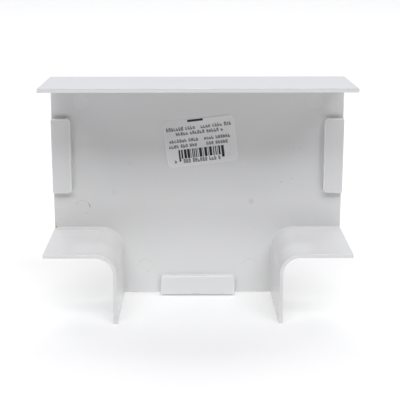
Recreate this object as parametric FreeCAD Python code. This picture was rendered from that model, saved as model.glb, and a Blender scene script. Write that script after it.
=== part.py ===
import FreeCAD, Part
import math
import os

# Tee cover for flat trunking: a moulded box with one straight run and one branch, open at the back.
# X lies along the run, Z up the branch, and Y goes from the open rim to the face.
# Sizes are in millimetres and angles in degrees.

# The channel, one size for the run and the branch, measured at the inside of the face
channel_width = 79.5
channel_depth = 45.0

# How far the openings stand out past the corners where the run and the branch meet
run_reach = 37.0
branch_reach = 37.0

# The moulding
wall_thickness = 2.0
face_thickness = 2.0
draft_angle = 1.65
bend_radius = 12.0
face_edge_radius = 1.0
root_radius = 0.6
rim_edge_radius = 0.4

# The hooked lip in the middle of each opening, with a slot that the end of the trunking's cover slides into
lip_length = 40.4
lip_reach = 10.1
lip_slot = 1.8
lip_thickness = 1.6
lip_web = 2.4
lip_corner_radius = 2.1
lip_edge_radius = 0.8

# Round marks of the ejector pins, sunk into the inside of the face
pin_mark_depth = 0.12
pin_radius = 3.9
run_pin_inset = 15.3
run_pin_spacing = 57.0
branch_pin_spacing = 56.6
branch_pin_height = 15.2
small_pin_radius = 1.3

# Shallow rectangles left by inserts in the mould, on the channel side of the two lower walls
insert_length = 20.4
insert_width = 6.6
insert_depth = 0.15
insert_end_gap = 3.0
left_insert_face_gap = 5.6
right_insert_face_gap = 3.3

# The stuck-on label, measured from the middle of the run
label_width = 37.4
label_height = 25.0
label_thickness = 0.12
label_corner_radius = 2.3
label_tilt = 6.8
label_shift = 1.7
label_rise = 7.4

# Places worked out from the sizes above
slope = math.tan(math.radians(draft_angle))
half_channel = channel_width / 2
rim_y = -(channel_depth + face_thickness) / 2
inside_y = rim_y + channel_depth
face_y = inside_y + face_thickness
branch_end_z = channel_depth * slope
low_z = branch_end_z + branch_reach
top_z = low_z + channel_width
middle_z = (low_z + top_z) / 2
run_end_x = half_channel + run_reach
bend_x = half_channel + bend_radius
bend_z = low_z - bend_radius

# The small pin marks: across from the middle of the branch, and up from the lower walls
small_pin_places = [(28.8, 14.4), (-35.9, 35.8), (-44.5, 19.6)]

# Extra lengths that carry a cutting or joining solid past the surface where it starts
overrun = 5.0
embed = 0.5

# How close to a place an edge counts as lying there
nearness = 0.5

along_y = FreeCAD.Vector(0, 1, 0)
origin = FreeCAD.Vector(0, 0, 0)


def spread(y):
    """How much further out a drafted side stands at depth y than at the inside of the face."""
    return (inside_y - y) * slope


def tee_outline(y, wall, past_ends):
    """Closed wire round the tee at depth y, a wall's thickness outside the channel."""
    growth = wall + spread(y)
    radius = bend_radius - growth
    diagonal = radius * math.sqrt(0.5)
    end_x = run_end_x + spread(y) + past_ends
    end_z = branch_end_z - spread(y) - past_ends
    top = (end_x, top_z + growth)
    low = (end_x, low_z - growth)
    bend_start = (bend_x, bend_z + radius)
    bend_middle = (bend_x - diagonal, bend_z + diagonal)
    bend_end = (bend_x - radius, bend_z)
    foot = (bend_x - radius, end_z)

    def right(point):
        return FreeCAD.Vector(point[0], y, point[1])

    def left(point):
        return FreeCAD.Vector(-point[0], y, point[1])

    def line(start, end):
        return Part.LineSegment(start, end).toShape()

    return Part.Wire([
        line(left(top), right(top)),
        line(right(top), right(low)),
        line(right(low), right(bend_start)),
        Part.Arc(right(bend_start), right(bend_middle), right(bend_end)).toShape(),
        line(right(bend_end), right(foot)),
        line(right(foot), left(foot)),
        line(left(foot), left(bend_end)),
        Part.Arc(left(bend_end), left(bend_middle), left(bend_start)).toShape(),
        line(left(bend_start), left(low)),
        line(left(low), left(top)),
    ])


def drafted_tee(deep_y, open_y, wall, past_ends):
    """Solid between two outlines of the tee, wider at its open side."""
    outlines = [tee_outline(deep_y, wall, past_ends), tee_outline(open_y, wall, past_ends)]
    return Part.makeLoft(outlines, True, True)


def edges_at_depth(solid, y):
    """Edges that lie flat at depth y."""
    slack = 1e-4
    return [
        edge for edge in solid.Edges
        if abs(edge.BoundBox.YMin - y) < slack and abs(edge.BoundBox.YMax - y) < slack
    ]


def channel_rim_edges(walls):
    """Edges of the rim that run along the channel, on the walls and round the bends."""
    channel = tee_outline(rim_y, 0, overrun)
    found = []
    for edge in edges_at_depth(walls, rim_y):
        middle = edge.valueAt((edge.FirstParameter + edge.LastParameter) / 2)
        points = [middle] + [vertex.Point for vertex in edge.Vertexes]
        if all(channel.distToShape(Part.Vertex(point))[0] < nearness for point in points):
            found.append(edge)
    return found


def shell():
    """The face and the walls, open at the back and at the three ends."""
    outside = drafted_tee(face_y, rim_y, wall_thickness, 0)
    outside = outside.makeFillet(face_edge_radius, edges_at_depth(outside, face_y))
    channel = drafted_tee(inside_y, rim_y - overrun, 0, overrun)
    channel = channel.makeFillet(root_radius, edges_at_depth(channel, inside_y))
    walls = outside.cut(channel)
    return walls.makeFillet(rim_edge_radius, channel_rim_edges(walls))


def lip():
    """The hooked lip of an opening that faces -X, its slot open to -X, with the opening's edge at x = 0."""
    foot_y = inside_y + embed
    slot_y = inside_y - lip_slot
    front_y = slot_y - lip_thickness
    profile = [
        (-spread(foot_y), foot_y),
        (lip_reach, foot_y),
        (lip_reach, front_y),
        (-spread(front_y), front_y),
    ]
    corners = [FreeCAD.Vector(x, y, -lip_length / 2) for x, y in profile]
    section = Part.Face(Part.makePolygon(corners + corners[:1]))
    block = section.extrude(FreeCAD.Vector(0, 0, lip_length))
    inner_corners = [
        edge for edge in block.Edges
        if edge.BoundBox.XMin > lip_reach - nearness and edge.BoundBox.ZLength < nearness
    ]
    block = block.makeFillet(lip_corner_radius, inner_corners)
    free_edges = [edge for edge in edges_at_depth(block, front_y) if edge.BoundBox.XMax > nearness]
    block = block.makeFillet(lip_edge_radius, free_edges)
    slot_corner = FreeCAD.Vector(-overrun, slot_y, -lip_length / 2 - overrun)
    slot_length = lip_length + 2 * overrun
    slot = Part.makeBox(lip_reach - lip_web + overrun, lip_slot, slot_length, slot_corner)
    return block.cut(slot)


def lips():
    """The three lips, one in the middle of each opening."""
    left = lip()
    left.translate(FreeCAD.Vector(-run_end_x, 0, middle_z))
    right = left.mirror(origin, FreeCAD.Vector(1, 0, 0))
    branch = lip()
    branch.rotate(origin, along_y, -90)
    branch.translate(FreeCAD.Vector(0, 0, branch_end_z))
    return [left, right, branch]


def pin_marks():
    """Discs that sink the ejector pins' marks into the inside of the face."""
    run_x = run_end_x - run_pin_inset
    run_high_z = middle_z + run_pin_spacing / 2
    run_low_z = middle_z - run_pin_spacing / 2
    branch_x = branch_pin_spacing / 2
    branch_z = branch_end_z + branch_pin_height
    places = [
        (-run_x, run_high_z), (run_x, run_high_z), (-run_x, run_low_z),
        (-branch_x, branch_z), (branch_x, branch_z),
    ]
    marks = [(pin_radius, x, z) for x, z in places]
    marks += [(small_pin_radius, x, low_z + rise) for x, rise in small_pin_places]
    return [
        Part.makeCylinder(radius, embed + pin_mark_depth, FreeCAD.Vector(x, inside_y - embed, z), along_y)
        for radius, x, z in marks
    ]


def insert_marks():
    """Thin blocks, tilted with the draft, that sink the inserts' marks into the two lower walls."""
    far_x = run_end_x - insert_end_gap
    places = [(-far_x, left_insert_face_gap), (far_x - insert_length, right_insert_face_gap)]
    marks = []
    for start_x, face_gap in places:
        corner = FreeCAD.Vector(0, -insert_width, -insert_depth)
        block = Part.makeBox(insert_length, insert_width, 2 * insert_depth, corner)
        block.rotate(origin, FreeCAD.Vector(1, 0, 0), draft_angle)
        start_y = inside_y - face_gap
        block.translate(FreeCAD.Vector(start_x, start_y, low_z - spread(start_y)))
        marks.append(block)
    return marks


def tee_cover():
    """The whole moulding: shell, lips, and the marks of its mould."""
    body = shell()
    for hook in lips():
        body = body.fuse(hook)
    for mark in pin_marks() + insert_marks():
        body = body.cut(mark)
    return body.removeSplitter()


def label():
    """The label, a thin sheet with round corners, stuck flat on the inside of the face."""
    corner = FreeCAD.Vector(-label_width / 2, inside_y - label_thickness, -label_height / 2)
    sheet = Part.makeBox(label_width, label_thickness, label_height, corner)
    short_edges = [edge for edge in sheet.Edges if edge.BoundBox.YLength > label_thickness / 2]
    sheet = sheet.makeFillet(label_corner_radius, short_edges)
    sheet.rotate(origin, along_y, -label_tilt)
    sheet.translate(FreeCAD.Vector(label_shift, 0, middle_z + label_rise))
    return sheet


os.makedirs("parts", exist_ok=True)
tee_cover().exportStep("parts/tee_cover.step")
label().exportStep("parts/label.step")
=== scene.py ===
import math
import random

import bpy
import bmesh
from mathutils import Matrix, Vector


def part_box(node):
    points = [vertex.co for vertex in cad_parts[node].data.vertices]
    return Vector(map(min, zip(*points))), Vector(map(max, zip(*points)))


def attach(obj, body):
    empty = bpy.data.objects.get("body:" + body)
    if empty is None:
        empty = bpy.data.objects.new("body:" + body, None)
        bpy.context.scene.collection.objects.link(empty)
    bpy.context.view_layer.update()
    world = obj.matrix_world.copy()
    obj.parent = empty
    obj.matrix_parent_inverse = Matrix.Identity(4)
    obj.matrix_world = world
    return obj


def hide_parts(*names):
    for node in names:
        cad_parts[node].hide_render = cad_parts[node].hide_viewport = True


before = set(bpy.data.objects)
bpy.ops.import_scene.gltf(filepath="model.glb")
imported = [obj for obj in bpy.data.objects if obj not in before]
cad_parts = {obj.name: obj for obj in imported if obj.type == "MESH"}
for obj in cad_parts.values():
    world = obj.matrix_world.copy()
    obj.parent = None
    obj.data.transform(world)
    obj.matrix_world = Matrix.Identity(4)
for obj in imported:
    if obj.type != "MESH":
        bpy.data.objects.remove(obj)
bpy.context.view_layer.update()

# The camera
# A long lens looks down a little into the open back of the cover, which stands on the end of its
# branch. Place and angles come from fitting the picture's edges to the cover's real sizes.
MM = 0.001
CAMERA_PLACE = Vector((-3.85, -579.2, 214.86)) * MM
CAMERA_PITCH = math.radians(15.05)
CAMERA_TURN = math.radians(0.49)
CAMERA_LENS = 104.5

lens = bpy.data.cameras.new("camera")
lens.lens = CAMERA_LENS
lens.sensor_width = 36.0
lens.clip_end = 20.0
camera = bpy.data.objects.new("camera", lens)
camera.location = CAMERA_PLACE
camera.rotation_euler = (math.pi / 2 - CAMERA_PITCH, 0.0, -CAMERA_TURN)
bpy.context.scene.collection.objects.link(camera)
bpy.context.scene.camera = camera

# The box of the cover
# One injection moulding in hard white PVC: a flat face with walls that lean out with the mould's
# draft, open at the back and at the three ends where the trunking comes in.
CHANNEL = 79.5 * MM
WALL = 2.0 * MM
DRAFT = math.radians(1.65)
BEND_RADIUS = 12.0 * MM
FACE_EDGE = 1.0 * MM
ROOT = 0.6 * MM
RIM_EDGE = 0.4 * MM
TINY = 0.02 * MM
CORNER_ANGLE = math.radians(20)
FLAT_ANGLE = math.radians(1)

outer_low, outer_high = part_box("tee_cover")
rim_y = outer_low.y
face_y = outer_high.y
inside_y = face_y - WALL
depth = inside_y - rim_y
flare = depth * math.tan(DRAFT)
run_end = outer_high.x - flare
branch_end = outer_low.z + flare
top = outer_high.z - flare - WALL
low = top - CHANNEL
half = CHANNEL / 2
middle = (top + low) / 2
AXES = {"X": 0, "Y": 1, "Z": 2}


def near(value, target):
    """True where two lengths differ by less than the mesh's own slack."""
    return abs(value - target) < TINY


def pick(kind, test):
    """Selects, in edit mode, only the vertices, edges or faces that pass the test."""
    bpy.ops.mesh.select_mode(type=kind)
    bpy.ops.mesh.select_all(action="DESELECT")
    mesh = bmesh.from_edit_mesh(bpy.context.object.data)
    mesh.normal_update()
    group = {"VERT": mesh.verts, "EDGE": mesh.edges, "FACE": mesh.faces}[kind]
    for element in [element for element in group if test(element)]:
        element.select_set(True)
    bmesh.update_edit_mesh(bpy.context.object.data)


def lies_at(element, axis, place):
    """True if every corner of an edge or a face lies at that place along the axis."""
    return all(near(corner.co[AXES[axis]], place) for corner in element.verts)


def at_opening(element):
    """True for what lies in the plane of one of the three open ends, at the inside of the face."""
    return (lies_at(element, "Z", branch_end) or lies_at(element, "X", run_end)
            or lies_at(element, "X", -run_end))


def is_corner(edge):
    """True where two faces meet at a real angle."""
    return edge.calc_face_angle(0) > CORNER_ANGLE


def on_channel(point):
    """True for a point of the rim where it meets the inside of the walls."""
    if near(point.z, top + flare) or near(point.z, low - flare) or near(abs(point.x), half + flare):
        return True
    hub = Vector((math.copysign(half + BEND_RADIUS, point.x), point.y, low - BEND_RADIUS))
    return near((point - hub).length, BEND_RADIUS - flare)


def apply(piece, kind, **settings):
    """Adds a modifier with its settings and applies it."""
    modifier = piece.modifiers.new(kind.lower(), kind)
    for name, value in settings.items():
        setattr(modifier, name, value)
    bpy.ops.object.modifier_apply(modifier=modifier.name)


bpy.ops.object.select_all(action="DESELECT")
bpy.ops.mesh.primitive_plane_add(
    size=1, location=(0, inside_y, middle), rotation=(math.pi / 2, 0, 0))
cover = bpy.context.object
cover.name = "moulded_cover"
cover.scale = (2 * run_end, CHANNEL, 1)
bpy.ops.object.transform_apply(location=True, rotation=True, scale=True)

bpy.ops.object.mode_set(mode="EDIT")
for side in (-1, 1):
    bpy.ops.mesh.select_all(action="SELECT")
    bpy.ops.mesh.bisect(plane_co=(side * half, 0, 0), plane_no=(1, 0, 0))
pick("EDGE", lambda e: lies_at(e, "Z", low) and all(abs(v.co.x) < half + TINY for v in e.verts))
bpy.ops.mesh.extrude_edges_move(TRANSFORM_OT_translate={"value": (0, 0, branch_end - low)})
bpy.ops.mesh.select_all(action="SELECT")
bpy.ops.mesh.dissolve_limited(angle_limit=FLAT_ANGLE)
pick("VERT", lambda v: near(abs(v.co.x), half) and near(v.co.z, low))
bpy.ops.mesh.bevel(offset=BEND_RADIUS, affect="VERTICES", segments=24, profile=0.5)
pick("EDGE", lambda e: not at_opening(e))
bpy.ops.mesh.extrude_edges_move(TRANSFORM_OT_translate={"value": (0, -depth, 0)})
pick("VERT", lambda v: near(v.co.y, rim_y))
bpy.ops.transform.shrink_fatten(value=-flare)
for axis, place, shift in (
        ("X", run_end, (flare, 0, 0)), ("X", -run_end, (-flare, 0, 0)), ("Z", branch_end, (0, 0, -flare))):
    pick("VERT", lambda v: near(v.co[AXES[axis]], place) and near(v.co.y, rim_y))
    bpy.ops.transform.translate(value=shift)
bpy.ops.object.mode_set(mode="OBJECT")
apply(cover, "SOLIDIFY", thickness=WALL, offset=-1, use_even_offset=True, use_quality_normals=True)

bpy.ops.object.mode_set(mode="EDIT")
for plane_y in (rim_y, face_y):
    pick("VERT", lambda v: abs(v.co.y - plane_y) < WALL / 4)
    bpy.ops.transform.resize(value=(1, 0, 1), center_override=(0, plane_y, 0))
pick("EDGE", lambda e: lies_at(e, "Y", face_y))
bpy.ops.mesh.bevel(offset=FACE_EDGE, segments=5, profile=0.5, affect="EDGES")
pick("EDGE", lambda e: lies_at(e, "Y", inside_y) and not at_opening(e))
bpy.ops.mesh.bevel(offset=ROOT, segments=3, profile=0.5, affect="EDGES")
pick("EDGE", lambda e: lies_at(e, "Y", rim_y) and is_corner(e) and all(on_channel(v.co) for v in e.verts))
bpy.ops.mesh.bevel(offset=RIM_EDGE, segments=3, profile=0.5, affect="EDGES")

# The three hooked lips
# Each stands on a web that grows out of the face, and turns outwards over a slot, so that the end of
# the trunking's own cover slides in under it. Its inner corners and its front edges are rounded.
LIP_LENGTH = 40.4 * MM
LIP_REACH = 10.1 * MM
LIP_SLOT = 1.8 * MM
LIP_THICKNESS = 1.6 * MM
LIP_WEB = 2.4 * MM
LIP_CORNER = 2.1 * MM
LIP_EDGE = 0.8 * MM
SOFT_EDGE = 0.15 * MM
SOFT_EDGE_ANGLE = math.radians(30)
FACING_OUT = 0.9


def hooked_lip(out, opening, along, centre):
    """Extrudes a lip out of the cover at the opening that faces out, centred there along the run."""
    lip_end = LIP_LENGTH / 2 + TINY
    slot_y = inside_y - LIP_SLOT
    front_y = slot_y - LIP_THICKNESS
    slot_reach = LIP_REACH - LIP_WEB

    def inward(vertex):
        return opening - vertex.co.dot(out)

    def beside(vertex):
        return abs(vertex.co.dot(along) - centre)

    def in_foot(face):
        return lies_at(face, "Y", inside_y) and all(
            slot_reach - TINY < inward(v) < LIP_REACH + TINY for v in face.verts)

    for line in (slot_reach, LIP_REACH):
        pick("FACE", lambda f: lies_at(f, "Y", inside_y))
        bpy.ops.mesh.bisect(plane_co=out * (opening - line), plane_no=out)
    for end in (-1, 1):
        pick("FACE", in_foot)
        bpy.ops.mesh.bisect(plane_co=along * (centre + end * LIP_LENGTH / 2), plane_no=along)
    pick("FACE", lambda f: in_foot(f) and all(beside(v) < lip_end for v in f.verts))
    for step in (LIP_SLOT, LIP_THICKNESS):
        bpy.ops.mesh.extrude_region_move(TRANSFORM_OT_translate={"value": (0, -step, 0)})
    pick("FACE", lambda f: f.normal.dot(out) > FACING_OUT and all(
        v.co.y < slot_y + TINY and near(inward(v), slot_reach) and beside(v) < lip_end for v in f.verts))
    bpy.ops.mesh.extrude_region_move(TRANSFORM_OT_translate={"value": out * slot_reach})
    for level in (slot_y, front_y):
        pick("VERT", lambda v: near(v.co.y, level) and near(inward(v), 0) and beside(v) < lip_end)
        bpy.ops.transform.translate(value=out * (inside_y - level) * math.tan(DRAFT))
    pick("EDGE", lambda e: abs(e.verts[0].co.y - e.verts[1].co.y) > LIP_THICKNESS / 2 and all(
        near(inward(v), LIP_REACH) and near(beside(v), LIP_LENGTH / 2) for v in e.verts))
    bpy.ops.mesh.bevel(offset=LIP_CORNER, segments=8, profile=0.5, affect="EDGES")
    pick("EDGE", lambda e: lies_at(e, "Y", front_y) and is_corner(e)
         and all(inward(v) < LIP_REACH + TINY and beside(v) < lip_end for v in e.verts)
         and any(inward(v) > slot_reach / 2 for v in e.verts))
    bpy.ops.mesh.bevel(offset=LIP_EDGE, segments=5, profile=0.5, affect="EDGES")


hooked_lip(Vector((-1, 0, 0)), run_end, Vector((0, 0, 1)), middle)
hooked_lip(Vector((1, 0, 0)), run_end, Vector((0, 0, 1)), middle)
hooked_lip(Vector((0, 0, -1)), -branch_end, Vector((1, 0, 0)), 0.0)
bpy.ops.object.mode_set(mode="OBJECT")
apply(cover, "BEVEL", width=SOFT_EDGE, segments=2, limit_method="ANGLE", angle_limit=SOFT_EDGE_ANGLE,
      use_clamp_overlap=False)

# The marks that the mould left
# Ejector pins pressed shallow discs into the inside of the face, and two inserts left rectangles
# on the lower walls. The tools that sink them are joined, so that one cut makes all the marks.
PIN_DEPTH = 0.12 * MM
PIN_RADIUS = 3.9 * MM
SMALL_PIN_RADIUS = 1.3 * MM
RUN_PIN_X = run_end - 15.3 * MM
RUN_PIN_RISE = 28.5 * MM
BRANCH_PIN_X = 28.3 * MM
BRANCH_PIN_Z = branch_end + 15.2 * MM
LARGE_PINS = [
    (-RUN_PIN_X, middle + RUN_PIN_RISE), (RUN_PIN_X, middle + RUN_PIN_RISE),
    (-RUN_PIN_X, middle - RUN_PIN_RISE), (-BRANCH_PIN_X, BRANCH_PIN_Z), (BRANCH_PIN_X, BRANCH_PIN_Z),
]
SMALL_PINS = [
    (28.8 * MM, low + 14.4 * MM), (-35.9 * MM, low + 35.8 * MM), (-44.5 * MM, low + 19.6 * MM),
]
INSERT_LENGTH = 20.4 * MM
INSERT_WIDTH = 6.6 * MM
INSERT_DEPTH = 0.15 * MM
INSERT_END_GAP = 3.0 * MM
LEFT_FACE_GAP = 5.6 * MM
RIGHT_FACE_GAP = 3.3 * MM
PIN_TOOL_LENGTH = 1.0 * MM
ROUND_SIDES = 72
SMOOTH_ANGLE = math.radians(25)

tools = []
for pins, radius in ((LARGE_PINS, PIN_RADIUS), (SMALL_PINS, SMALL_PIN_RADIUS)):
    for x, z in pins:
        bpy.ops.object.select_all(action="DESELECT")
        bpy.ops.mesh.primitive_cylinder_add(
            vertices=ROUND_SIDES, radius=radius, depth=PIN_TOOL_LENGTH,
            location=(x, inside_y + PIN_DEPTH - PIN_TOOL_LENGTH / 2, z), rotation=(math.pi / 2, 0, 0))
        tools.append(bpy.context.object)
for side, face_gap in ((-1, LEFT_FACE_GAP), (1, RIGHT_FACE_GAP)):
    across_y = inside_y - face_gap - INSERT_WIDTH / 2
    lean_z = low - (inside_y - across_y) * math.tan(DRAFT)
    bpy.ops.object.select_all(action="DESELECT")
    bpy.ops.mesh.primitive_cube_add(
        size=1, location=(side * (run_end - INSERT_END_GAP - INSERT_LENGTH / 2), across_y, lean_z),
        rotation=(DRAFT, 0, 0), scale=(INSERT_LENGTH, INSERT_WIDTH, 2 * INSERT_DEPTH))
    tools.append(bpy.context.object)
for tool in tools:
    tool.select_set(True)
bpy.ops.object.join()
marker = bpy.context.object

bpy.ops.object.select_all(action="DESELECT")
bpy.context.view_layer.objects.active = cover
cover.select_set(True)
apply(cover, "BOOLEAN", operation="DIFFERENCE", solver="EXACT", object=marker)
bpy.data.objects.remove(marker)
bpy.ops.object.shade_smooth_by_angle(angle=SMOOTH_ANGLE)
apply(cover, "WEIGHTED_NORMAL", keep_sharp=True)

# The plastic
# Hard white PVC, moulded in a polished tool: an opaque cool white with a soft gloss, a fine orange
# peel and faint clouds. Use left dark specks, and brown grime in the pins' marks and on cut edges.
WHITE = "#E1E1E2"
CLOUD = "#E1E0E0"
PALE = "#FAFAFB"
GREY = "#BEBEC0"
GRIME = "#7A5535"
RUST_BROWN = "#BA863A"
SPECK = "#34302D"
PLASTIC_IOR = 1.53
SHINY, DULL = 0.235, 0.27
CLOUD_SIZE = 30.0 * MM
WAVE_SIZE = 22.0 * MM
WAVE_HEIGHT = 0.03 * MM
PEEL_SIZE = 1.5 * MM
PEEL_HEIGHT = 0.004 * MM
RING_WIDTH = 0.3 * MM
NOISE_LOW, NOISE_HIGH = 0.3, 0.7
# How much of a pale ring's strength its disc has, and how much of a spot's radius is at full strength
DISC_SHARE = 0.3
SPOT_CORE = 0.35

# Spots as (x, y, z, radius, strength), the first four in millimetres from the origin
SPECKS = [
    (44.7, 21.5, 63.2, 0.36, 0.60), (50.4, 21.5, 65.1, 0.32, 0.50), (54.5, 21.5, 81.6, 0.32, 0.45),
    (50.8, 21.5, 82.0, 0.27, 0.40), (26.6, 21.5, 71.2, 0.27, 0.30), (30.5, 21.5, 37.2, 0.26, 0.25),
    (31.4, 21.5, 37.9, 0.26, 0.25), (-41.5, 21.5, 40.5, 0.25, 0.12), (-46.3, 21.5, 45.0, 0.25, 0.12),
    (33.6, 21.5, 43.7, 0.25, 0.12), (72.9, 21.5, 103.1, 0.30, 0.14), (47.3, -6.1, 37.8, 0.30, 0.16),
    (-10.4, 18.1, 7.8, 0.27, 0.16), (11.3, 18.1, 5.6, 0.27, 0.16), (15.1, 18.1, 10.3, 0.25, 0.12),
    (-68.8, 18.1, 85.5, 0.60, 0.06),
]
RING_GRIME = [
    (-57.9, 21.5, 50.4, 1.4, 1.00), (-57.9, 21.5, 51.8, 1.4, 0.60), (-59.5, 21.5, 46.2, 1.0, 0.45),
    (-64.6, 21.5, 52.1, 1.8, 0.35), (-61.4, 21.5, 53.6, 2.6, 0.20), (-26.8, 21.5, 12.5, 1.6, 0.25),
    (-25.7, 21.5, 13.1, 1.4, 0.30),
]
# Painted shade on the upper edges of three pins' rings
RING_SHADE = [
    (-28.3, 21.5, 20.6, 8.0, 0.36), (28.3, 21.5, 20.6, 8.0, 0.36), (-61.4, 21.5, 53.6, 7.0, 0.25),
]
PALE_PINS = [(-61.4, 21.5, 106.6, 9.0, 0.32), (61.4, 21.5, 106.6, 9.0, 0.32)]
# The last, broad spot is painted shade on the left lip's front; the others are grey marks at the small pins
GREY_AND_SHADE_SPOTS = [
    (28.8, 21.6, 52.6, 1.9, 0.40), (-35.9, 21.6, 74.1, 1.8, 0.12), (-44.5, 21.6, 57.9, 1.8, 0.12),
    (-73.0, 18.1, 88.0, 15.0, 0.13),
]
RUST_SPOTS = [(-76.0, 21.5, 38.3, 0.9, 0.80)]
# Streaks as (centre, half size, softness, strength), the first three in millimetres. The rust lies at
# the cut edges, with a brown tint in the ends of the lips' slots. The pale ones are painted highlights
# round the inserts and along the top wall's rim, a pale mark at the gate, and four broad faint areas of
# painted light on the low walls and the walls of the branch
RUST_AND_BROWN_STREAKS = [
    ((-76.2, 21.5, 39.9), (0.1, 0.5, 1.2), 0.5, 0.25), ((-71.6, 20.4, 98.4), (2.6, 1.0, 0.3), 1.4, 0.14),
    ((71.6, 20.4, 98.4), (2.6, 1.0, 0.3), 1.4, 0.07), ((-1.1, 18.1, 1.4), (1.8, 0.5, 0.25), 0.5, 0.22),
    ((-34.6, 21.5, 1.2), (1.5, 0.5, 0.15), 0.5, 0.60), ((35.9, 21.5, 1.2), (1.8, 0.5, 0.15), 0.5, 0.45),
]
PALE_AND_PAINTED_LIGHT_STREAKS = [
    ((-63.5, 15.9, 38.1), (10.2, 0.3, 0.3), 0.5, 0.45), ((-63.5, 9.3, 38.0), (10.2, 0.3, 0.3), 0.5, 0.18),
    ((-53.3, 12.6, 38.0), (0.2, 3.3, 0.4), 0.4, 0.20), ((-73.7, 12.6, 38.0), (0.2, 3.3, 0.4), 0.4, 0.20),
    ((63.5, 18.2, 38.2), (10.2, 0.3, 0.3), 0.5, 0.42), ((63.5, 11.6, 38.0), (10.2, 0.3, 0.3), 0.5, 0.15),
    ((0.2, -23.4, 121.1), (6.0, 0.4, 0.1), 0.4, 0.45), ((0.0, -23.5, 119.7), (78.0, 0.3, 0.5), 0.8, 0.34),
    ((-50.0, -14.0, 37.3), (8.0, 4.0, 1.0), 9.0, 0.26), ((47.0, -14.0, 37.3), (6.0, 4.0, 1.0), 9.0, 0.34),
    ((-39.0, -8.0, 12.0), (1.0, 8.0, 14.0), 9.0, 0.24), ((39.0, -8.0, 14.0), (1.0, 8.0, 12.0), 9.0, 0.14),
]
# A painted highlight, a thin pale line just inside the lips' front edges, stands for light on their
# rounding.
# It follows blocks with a lip's inner outline that reach out past the openings, so that only three of their
# sides lie on the lips
LINE_INSET = 0.45 * MM
LINE_WIDTH = 0.55 * MM
LINE_BLOCK = 20.0 * MM
LINE_END, LINE_FULL = 1.1 * MM, 0.7 * MM
lip_front = inside_y - LIP_SLOT - LIP_THICKNESS
side_block = run_end - LIP_REACH + LINE_BLOCK
side_half = Vector((LINE_BLOCK, LIP_EDGE, LIP_LENGTH / 2))
branch_half = Vector((LIP_LENGTH / 2, LIP_EDGE, LINE_BLOCK))
LIP_HIGHLIGHTS = [
    (Vector((-side_block, lip_front, middle)), side_half, 0.55),
    (Vector((side_block, lip_front, middle)), side_half, 0.65),
    (Vector((0, lip_front, branch_end + LIP_REACH - LINE_BLOCK)), branch_half, 0.15),
]


def linear(hex_colour):
    """Linear RGBA of an sRGB hex colour."""
    parts = [int(hex_colour[start:start + 2], 16) / 255 for start in (1, 3, 5)]
    return [((part + 0.055) / 1.055) ** 2.4 if part > 0.04045 else part / 12.92 for part in parts] + [1.0]


def new_material(name):
    """A material with its node tree and its Principled shader."""
    material = bpy.data.materials.new(name)
    material.use_nodes = True
    return material, material.node_tree, material.node_tree.nodes["Principled BSDF"]


def add(tree, kind, settings, links):
    """Adds a node, sets its own settings and its sockets, links what feeds it, and gives its output."""
    node = tree.nodes.new(kind)
    for name, value in settings.items():
        if isinstance(name, int) or name in node.inputs:
            node.inputs[name].default_value = value
        else:
            setattr(node, name, value)
    for name, source in links.items():
        tree.links.new(source, node.inputs[name])
    return next(output for output in node.outputs if output.enabled)


def strongest(tree, masks):
    """The strongest of several masks at each point."""
    result = masks[0]
    for mask in masks[1:]:
        result = add(tree, "ShaderNodeMath", {"operation": "MAXIMUM"}, {0: result, 1: mask})
    return result


def spots(tree, place, marks):
    """Mask of soft round spots, each with its own radius and strength."""
    masks = []
    for x, y, z, radius, strength in marks:
        centre = Vector((x, y, z)) * MM
        away = add(tree, "ShaderNodeVectorMath", {"operation": "DISTANCE", 1: centre}, {0: place})
        masks.append(add(tree, "ShaderNodeMapRange", {
            "interpolation_type": "SMOOTHSTEP", "From Min": radius * MM, "From Max": SPOT_CORE * radius * MM,
            "To Max": strength}, {"Value": away}))
    return strongest(tree, masks)


def distance_to_block(tree, place, centre, half_size):
    """How far each point lies from a block with that centre and half size."""
    away = add(tree, "ShaderNodeVectorMath", {"operation": "SUBTRACT", 1: centre}, {0: place})
    away = add(tree, "ShaderNodeVectorMath", {"operation": "ABSOLUTE"}, {0: away})
    away = add(tree, "ShaderNodeVectorMath", {"operation": "SUBTRACT", 1: half_size}, {0: away})
    away = add(tree, "ShaderNodeVectorMath", {"operation": "MAXIMUM"}, {0: away})
    return add(tree, "ShaderNodeVectorMath", {"operation": "LENGTH"}, {0: away})


def streaks(tree, place, marks):
    """Mask of soft straight streaks, each of which fades with the distance from a small block."""
    masks = []
    for centre, half_size, softness, strength in marks:
        away = distance_to_block(tree, place, Vector(centre) * MM, Vector(half_size) * MM)
        masks.append(add(tree, "ShaderNodeMapRange", {
            "interpolation_type": "SMOOTHSTEP", "From Min": softness * MM, "From Max": 0.0,
            "To Max": strength}, {"Value": away}))
    return strongest(tree, masks)


def painted(tree, ground, coats):
    """The colour of a ground under coats, each given as the mask that it shows through and its colour."""
    colour = None
    for mask, coat in coats:
        settings, links = {"data_type": "RGBA", 7: linear(coat)}, {0: mask}
        if colour is None:
            settings[6] = linear(ground)
        else:
            links[6] = colour
        colour = add(tree, "ShaderNodeMix", settings, links)
    return colour


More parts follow.
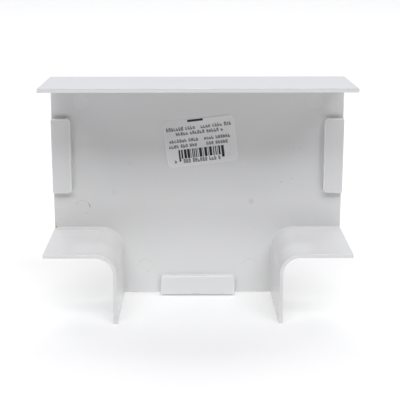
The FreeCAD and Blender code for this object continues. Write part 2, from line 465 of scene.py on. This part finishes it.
plastic, tree, shader = new_material("moulded_white_pvc")
place = tree.nodes.new("ShaderNodeTexCoord").outputs["Object"]
place_y = add(tree, "ShaderNodeVectorMath", {"operation": "DOT_PRODUCT", 1: (0, 1, 0)}, {0: place})
inside = add(tree, "ShaderNodeMapRange", {
    "From Min": inside_y + WALL / 3, "From Max": inside_y + WALL / 4}, {"Value": place_y})
discs, rings = [], []
for x, z in LARGE_PINS:
    centre = Vector((x, inside_y, z))
    away = add(tree, "ShaderNodeVectorMath", {"operation": "DISTANCE", 1: centre}, {0: place})
    discs.append(add(tree, "ShaderNodeMapRange", {
        "From Min": PIN_RADIUS + RING_WIDTH / 3, "From Max": PIN_RADIUS - RING_WIDTH / 3}, {"Value": away}))
    away = add(tree, "ShaderNodeMath", {"operation": "SUBTRACT", 1: PIN_RADIUS - RING_WIDTH / 2}, {0: away})
    away = add(tree, "ShaderNodeMath", {"operation": "ABSOLUTE"}, {0: away})
    rings.append(add(tree, "ShaderNodeMapRange", {
        "interpolation_type": "SMOOTHSTEP", "From Min": RING_WIDTH, "From Max": 0.0}, {"Value": away}))
discs = add(tree, "ShaderNodeMath", {"operation": "MULTIPLY"}, {0: strongest(tree, discs), 1: inside})
rings = add(tree, "ShaderNodeMath", {"operation": "MULTIPLY"}, {0: strongest(tree, rings), 1: inside})

pale_pins = spots(tree, place, PALE_PINS)
pale_rings = add(tree, "ShaderNodeMath", {"operation": "MULTIPLY"}, {0: rings, 1: pale_pins})
pale_discs = add(tree, "ShaderNodeMath", {"operation": "MULTIPLY"}, {0: discs, 1: pale_pins})
pale_discs = add(tree, "ShaderNodeMath", {"operation": "MULTIPLY", 1: DISC_SHARE}, {0: pale_discs})
lines = []
for centre, half_size, strength in LIP_HIGHLIGHTS:
    core = half_size - Vector((LIP_CORNER, 0, LIP_CORNER))
    away = distance_to_block(tree, place, centre, core)
    away = add(tree, "ShaderNodeMath", {"operation": "SUBTRACT", 1: LIP_CORNER - LINE_INSET}, {0: away})
    away = add(tree, "ShaderNodeMath", {"operation": "ABSOLUTE"}, {0: away})
    lines.append(add(tree, "ShaderNodeMapRange", {
        "interpolation_type": "SMOOTHSTEP", "From Min": LINE_WIDTH, "From Max": 0.0,
        "To Max": strength}, {"Value": away}))
front = add(tree, "ShaderNodeMapRange", {
    "From Min": lip_front + LINE_END, "From Max": lip_front + LINE_FULL}, {"Value": place_y})
lip_highlights = add(tree, "ShaderNodeMath", {"operation": "MULTIPLY"}, {0: front, 1: strongest(tree, lines)})
shade = add(tree, "ShaderNodeMath", {"operation": "MULTIPLY"}, {0: rings, 1: spots(tree, place, RING_SHADE)})
grime = add(tree, "ShaderNodeMath", {"operation": "MULTIPLY"}, {0: rings, 1: spots(tree, place, RING_GRIME)})
clouds = add(tree, "ShaderNodeTexNoise", {"Scale": 1 / CLOUD_SIZE, "Detail": 3.0}, {"Vector": place})
tree.links.new(painted(tree, WHITE, [
    (clouds, CLOUD),
    (strongest(tree, [pale_rings, pale_discs, lip_highlights, streaks(tree, place, PALE_AND_PAINTED_LIGHT_STREAKS)]), PALE),
    (spots(tree, place, GREY_AND_SHADE_SPOTS), GREY),
    (shade, GREY),
    (grime, GRIME),
    (strongest(tree, [spots(tree, place, RUST_SPOTS), streaks(tree, place, RUST_AND_BROWN_STREAKS)]), RUST_BROWN),
    (spots(tree, place, SPECKS), SPECK),
]), shader.inputs["Base Color"])

gloss = add(tree, "ShaderNodeMapRange", {
    "From Min": NOISE_LOW, "From Max": NOISE_HIGH, "To Min": SHINY, "To Max": DULL}, {"Value": clouds})
gloss = add(tree, "ShaderNodeMath", {"operation": "ADD", "use_clamp": True}, {0: gloss, 1: grime})
tree.links.new(gloss, shader.inputs["Roughness"])
shader.inputs["IOR"].default_value = PLASTIC_IOR
waves = add(tree, "ShaderNodeTexNoise", {"Scale": 1 / WAVE_SIZE, "Detail": 1.0}, {"Vector": place})
peel = add(tree, "ShaderNodeTexNoise", {"Scale": 1 / PEEL_SIZE, "Detail": 1.0}, {"Vector": place})
waved = add(tree, "ShaderNodeBump", {"Distance": WAVE_HEIGHT}, {"Height": waves})
peeled = add(tree, "ShaderNodeBump", {"Distance": PEEL_HEIGHT}, {"Height": peel, "Normal": waved})
tree.links.new(peeled, shader.inputs["Normal"])

cover.data.materials.clear()
cover.data.materials.append(plastic)
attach(cover, "root")
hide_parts("tee_cover")

# The label
# A coated paper sticker with round corners, pressed flat on the inside of the face a little askew.
# Its middle comes from the solid that it stands for, and its sizes and tilt are the solid's.
LABEL_WIDTH = 37.4 * MM
LABEL_HEIGHT = 25.0 * MM
LABEL_THICKNESS = 0.12 * MM
LABEL_CORNER = 2.3 * MM
LABEL_TILT = math.radians(6.8)
# Coated paper: a smooth near-white with a slight sheen and a faint mottle. A pale line along its top and
# sides is a painted highlight
PAPER = "#ECECEE"
PAPER_SHADE = "#E5E4E4"
PAPER_EDGE_HIGHLIGHT = "#FCFCFD"
PAPER_GREY = "#C9C9CC"
PAPER_DIRT = "#6E5A48"
PAPER_GLOSS = 0.38
PAPER_IOR = 1.46
FIBRE_SIZE = 0.5 * MM
FIBRE_HEIGHT = 0.003 * MM
MOTTLE_SIZE = 9.0 * MM
# Streaks and spots in the same form as the plastic's, from the label's middle and along its sides
EDGE_HIGHLIGHT_STREAKS = [
    ((0.0, 0.0, 12.4), (16.0, 0.5, 0.05), 0.35, 0.6), ((-18.6, 0.0, 0.0), (0.05, 0.5, 10.0), 0.35, 0.6),
    ((18.6, 0.0, 0.0), (0.05, 0.5, 10.0), 0.35, 0.6),
]
DIRT_STREAKS = [((9.5, 0.0, 12.5), (7.0, 0.5, 0.05), 0.35, 0.5)]
# The broad spot at the top left is a painted shadow of the top wall; the small one is a grey spot
PAPER_GREY_AND_SHADE_SPOTS = [(14.2, 0.0, -8.7, 1.6, 0.20), (-17.0, 0.0, 13.0, 17.0, 0.22)]

label_low, label_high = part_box("label")
label_middle = (label_low + label_high) / 2


def place_flat(piece, front_y):
    """Turns a flat piece to the label's tilt, moves it to the label's middle and fixes it there."""
    piece.rotation_euler = (0, -LABEL_TILT, 0)
    piece.location = (label_middle.x, front_y, label_middle.z)
    bpy.ops.object.transform_apply(location=True, rotation=True, scale=True)


bpy.ops.object.select_all(action="DESELECT")
bpy.ops.mesh.primitive_plane_add(size=1, rotation=(math.pi / 2, 0, 0))
label = bpy.context.object
label.name = "paper_label"
label.scale = (LABEL_WIDTH, LABEL_HEIGHT, 1)
bpy.ops.object.transform_apply(location=True, rotation=True, scale=True)
bpy.ops.object.mode_set(mode="EDIT")
bpy.ops.mesh.select_all(action="SELECT")
bpy.ops.mesh.bevel(offset=LABEL_CORNER, affect="VERTICES", segments=10, profile=0.5)
bpy.ops.object.mode_set(mode="OBJECT")
place_flat(label, inside_y - LABEL_THICKNESS)
apply(label, "SOLIDIFY", thickness=LABEL_THICKNESS, offset=-1)

paper, tree, shader = new_material("coated_paper")
place = tree.nodes.new("ShaderNodeTexCoord").outputs["Object"]
fibres = add(tree, "ShaderNodeTexNoise", {"Scale": 1 / FIBRE_SIZE, "Detail": 3.0}, {"Vector": place})
mottle = add(tree, "ShaderNodeTexNoise", {"Scale": 1 / MOTTLE_SIZE, "Detail": 2.0}, {"Vector": place})
on_label = add(tree, "ShaderNodeMapping", {
    "vector_type": "TEXTURE", "Location": label_middle, "Rotation": (0, -LABEL_TILT, 0)}, {"Vector": place})
tree.links.new(painted(tree, PAPER, [
    (mottle, PAPER_SHADE),
    (streaks(tree, on_label, EDGE_HIGHLIGHT_STREAKS), PAPER_EDGE_HIGHLIGHT),
    (spots(tree, on_label, PAPER_GREY_AND_SHADE_SPOTS), PAPER_GREY),
    (streaks(tree, on_label, DIRT_STREAKS), PAPER_DIRT),
]), shader.inputs["Base Color"])
shader.inputs["Roughness"].default_value = PAPER_GLOSS
shader.inputs["IOR"].default_value = PAPER_IOR
fine = add(tree, "ShaderNodeBump", {"Distance": FIBRE_HEIGHT}, {"Height": fibres})
tree.links.new(fine, shader.inputs["Normal"])
label.data.materials.append(paper)
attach(label, "root")
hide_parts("label")

# The print on the label
# Thermal-transfer ink, a thin soft-black film that is worn greyer in patches: a plain heading bar, rows
# of short strokes for small print, and upright bars of random widths over a last row of strokes.
INK = "#121317"
WORN_INK = "#26272D"
INK_GLOSS = 0.42
WEAR_SIZE = 2.5 * MM
INK_FILM = 0.02 * MM
STROKE = 0.35 * MM
SIGN_WIDTH = 0.95 * MM
SIGN_STEP = 1.32 * MM
WORD_GAP = 0.9 * MM
WORD_SIGNS = (3, 7)
WEAR_START, WEAR_FULL = 0.4, 0.65
# Shares of a sign's height that its first stroke, its cross stroke and its second stroke may reach
FIRST_SHARES = (0.75, 1.0, 1.0)
CROSS_SHARES = (0.0, 0.45, 0.85)
SECOND_SHARES = (0.5, 0.75, 1.0)
# Rows as (left end, right end, height of their middle, size of their signs), in millimetres from the
# label's middle
PRINT_ROWS = [
    (-17.4, -1.5, 8.0, 2.0), (0.9, 16.6, 8.0, 2.0), (-12.6, 12.0, 5.3, 1.9), (-16.4, -1.6, 1.5, 1.75),
    (1.9, 16.6, 1.5, 1.75), (-17.0, -12.6, -1.4, 1.75), (-10.8, -2.8, -1.4, 1.75), (2.9, 14.6, -1.4, 1.75),
    (-14.9, -14.4, -9.5, 1.6), (-10.2, 8.6, -9.6, 2.2),
]
HEADING_U, HEADING_V = -1.7 * MM, 11.7 * MM
HEADING_LENGTH, HEADING_WIDTH = 8.3 * MM, 1.25 * MM
BARS_LEFT, BARS_RIGHT = -12.4 * MM, 11.2 * MM
BARS_TOP, BARS_FOOT, GUARD_FOOT = -3.3 * MM, -8.2 * MM, -9.6 * MM
BAR_WIDTHS = (0.3 * MM, 0.3 * MM, 0.55 * MM, 0.9 * MM, 1.4 * MM)
BAR_GAPS = (0.32 * MM, 0.45 * MM, 0.6 * MM)
rng = random.Random(5)


def ink_stroke(left, right, foot, head):
    """Adds one flat stroke to the print."""
    centre = ((left + right) / 2, 0, (foot + head) / 2)
    bpy.ops.mesh.primitive_plane_add(size=1, location=centre, rotation=(math.pi / 2, 0, 0))
    bpy.ops.transform.resize(value=(right - left, 1, head - foot), center_override=centre)


bpy.ops.object.select_all(action="DESELECT")
bpy.ops.mesh.primitive_plane_add(
    size=HEADING_LENGTH, location=(HEADING_U, 0, HEADING_V), rotation=(math.pi / 2, 0, 0))
ink = bpy.context.object
ink.name = "label_print"
bpy.ops.object.transform_apply(location=True, rotation=True, scale=True)
bpy.ops.object.mode_set(mode="EDIT")
bpy.ops.transform.resize(
    value=(1, 1, HEADING_WIDTH / HEADING_LENGTH), center_override=(HEADING_U, 0, HEADING_V))
for left, right, level, height in PRINT_ROWS:
    u = left * MM
    foot = (level - height / 2) * MM
    signs = rng.randint(*WORD_SIGNS)
    while u < right * MM:
        head = foot + height * MM * rng.choice(FIRST_SHARES)
        cross = foot + rng.choice(CROSS_SHARES) * (head - foot)
        second = foot + rng.choice(SECOND_SHARES) * (head - foot)
        ink_stroke(u, u + STROKE, foot, head)
        ink_stroke(u + STROKE, u + SIGN_WIDTH - STROKE, cross, cross + STROKE)
        ink_stroke(u + SIGN_WIDTH - STROKE, u + SIGN_WIDTH, foot, second)
        signs -= 1
        u += SIGN_STEP if signs else SIGN_STEP + WORD_GAP
        signs = signs or rng.randint(*WORD_SIGNS)
u = BARS_LEFT
while u < BARS_RIGHT:
    width = rng.choice(BAR_WIDTHS)
    is_guard = u < BARS_LEFT + SIGN_STEP or u > BARS_RIGHT - SIGN_STEP or abs(u) < SIGN_STEP / 2
    ink_stroke(u, u + width, GUARD_FOOT if is_guard else BARS_FOOT, BARS_TOP)
    u += width + rng.choice(BAR_GAPS)
bpy.ops.object.mode_set(mode="OBJECT")
place_flat(ink, inside_y - LABEL_THICKNESS - INK_FILM)
apply(ink, "SOLIDIFY", thickness=INK_FILM, offset=-1)

black, tree, shader = new_material("transfer_ink")
place = tree.nodes.new("ShaderNodeTexCoord").outputs["Object"]
worn = add(tree, "ShaderNodeTexNoise", {"Scale": 1 / WEAR_SIZE, "Detail": 2.0}, {"Vector": place})
worn = add(tree, "ShaderNodeMapRange", {"From Min": WEAR_START, "From Max": WEAR_FULL}, {"Value": worn})
tree.links.new(painted(tree, INK, [(worn, WORN_INK)]), shader.inputs["Base Color"])
shader.inputs["Roughness"].default_value = INK_GLOSS
ink.data.materials.append(black)
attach(ink, "root")

# The floor
# A wide table in matt white laminate, far larger than the picture, so that no edge or horizon shows: an
# even pale ground for soft shadows. A cloth of flat dark felt lies on it in front of the cover, outside
# the picture, and keeps the table's light off the low walls.
TABLE_SIZE = 12.0
TABLE = "#DADADA"
TABLE_PATCH = "#D9D9D9"
PATCH_SIZE = 0.83
TABLE_GLOW = 0.3
TABLE_ROUGHNESS = 0.9
CLOTH_SIZE = 5.6
CLOTH_EDGE = -0.40
CLOTH_LIFT = 1.0 * MM
FELT = "#333333"
FELT_NAP = "#2D2D2D"
NAP_SIZE = 4.0 * MM
FELT_ROUGHNESS = 0.95

bpy.ops.object.select_all(action="DESELECT")
bpy.ops.mesh.primitive_plane_add(size=TABLE_SIZE, location=(0, 0, 0))
table = bpy.context.object
table.name = "white_table"
laminate, tree, shader = new_material("matt_white_laminate")
place = tree.nodes.new("ShaderNodeTexCoord").outputs["Object"]
patches = add(tree, "ShaderNodeTexNoise", {"Scale": 1 / PATCH_SIZE, "Detail": 1.0}, {"Vector": place})
tree.links.new(painted(tree, TABLE, [(patches, TABLE_PATCH)]), shader.inputs["Base Color"])
shader.inputs["Roughness"].default_value = TABLE_ROUGHNESS
shader.inputs["Specular IOR Level"].default_value = 0.0
shader.inputs["Emission Color"].default_value = (1, 1, 1, 1)
shader.inputs["Emission Strength"].default_value = TABLE_GLOW
table.data.materials.append(laminate)

bpy.ops.object.select_all(action="DESELECT")
bpy.ops.mesh.primitive_plane_add(size=CLOTH_SIZE, location=(0, CLOTH_EDGE - CLOTH_SIZE / 2, CLOTH_LIFT))
cloth = bpy.context.object
cloth.name = "dark_cloth"
felt, tree, shader = new_material("dark_felt")
place = tree.nodes.new("ShaderNodeTexCoord").outputs["Object"]
nap = add(tree, "ShaderNodeTexNoise", {"Scale": 1 / NAP_SIZE, "Detail": 2.0}, {"Vector": place})
tree.links.new(painted(tree, FELT, [(nap, FELT_NAP)]), shader.inputs["Base Color"])
shader.inputs["Roughness"].default_value = FELT_ROUGHNESS
shader.inputs["Specular IOR Level"].default_value = 0.0
cloth.data.materials.append(felt)

# The light
# Long soft boxes high in front give the top wall its shadow on the face. Others above and behind
# light the top wall and the ends, and a little comes from each side.
world = bpy.data.worlds.new("studio")
world.use_nodes = True
world.node_tree.nodes["Background"].inputs["Color"].default_value = (1, 1, 1, 1)
world.node_tree.nodes["Background"].inputs["Strength"].default_value = 0.0
bpy.context.scene.world = world
bpy.context.scene.view_settings.view_transform = "Standard"
# Boxes as (name, azimuth and elevation in degrees, distance, width and height in metres, watts, colour)
BOXES = [
    ("top", 0, 88, 3.0, 2.7, 2.7, 9.6, "#E8D9FF"),
    ("front_62", 0, 62, 3.0, 3.6, 0.42, 27.9, "#FEFFFB"),
    ("front_54", 0, 54, 3.0, 3.6, 0.21, 12.5, "#FFFCF5"),
    ("front_50", 0, 50, 3.0, 3.6, 0.21, 9.0, "#F9FBFF"),
    ("front_46", 0, 46, 3.0, 3.6, 0.21, 13.2, "#FDFFFE"),
    ("front_42", 0, 42, 3.0, 3.6, 0.21, 10.2, "#EFF8FF"),
    ("right", 50, 46, 3.0, 1.2, 0.6, 9.4, "#EAEFFF"),
    ("low_left", -75, 17, 3.0, 1.5, 1.0, 5.3, "#EDE8FF"),
    ("low_right", 75, 17, 3.0, 1.5, 1.0, 4.8, "#FFEDB4"),
    ("behind", 180, 60, 3.0, 3.0, 1.5, 46.3, "#FEFFF8"),
    ("low_behind", 180, 28, 3.2, 7.0, 3.0, 44.4, "#F1F4FF"),
]
AIM = Vector((0, 0, 0.06))
for name, azimuth, elevation, distance, wide, high, power, colour in BOXES:
    turn, rise = math.radians(azimuth), math.radians(elevation)
    lamp = bpy.data.lights.new(name, "AREA")
    lamp.shape = "RECTANGLE"
    lamp.size = wide
    lamp.size_y = high
    lamp.energy = power
    lamp.color = linear(colour)[:3]
    holder = bpy.data.objects.new(name, lamp)
    holder.location = AIM + distance * Vector(
        (math.sin(turn) * math.cos(rise), -math.cos(turn) * math.cos(rise), math.sin(rise)))
    holder.rotation_euler = (math.pi / 2 - rise, 0, turn)
    bpy.context.scene.collection.objects.link(holder)
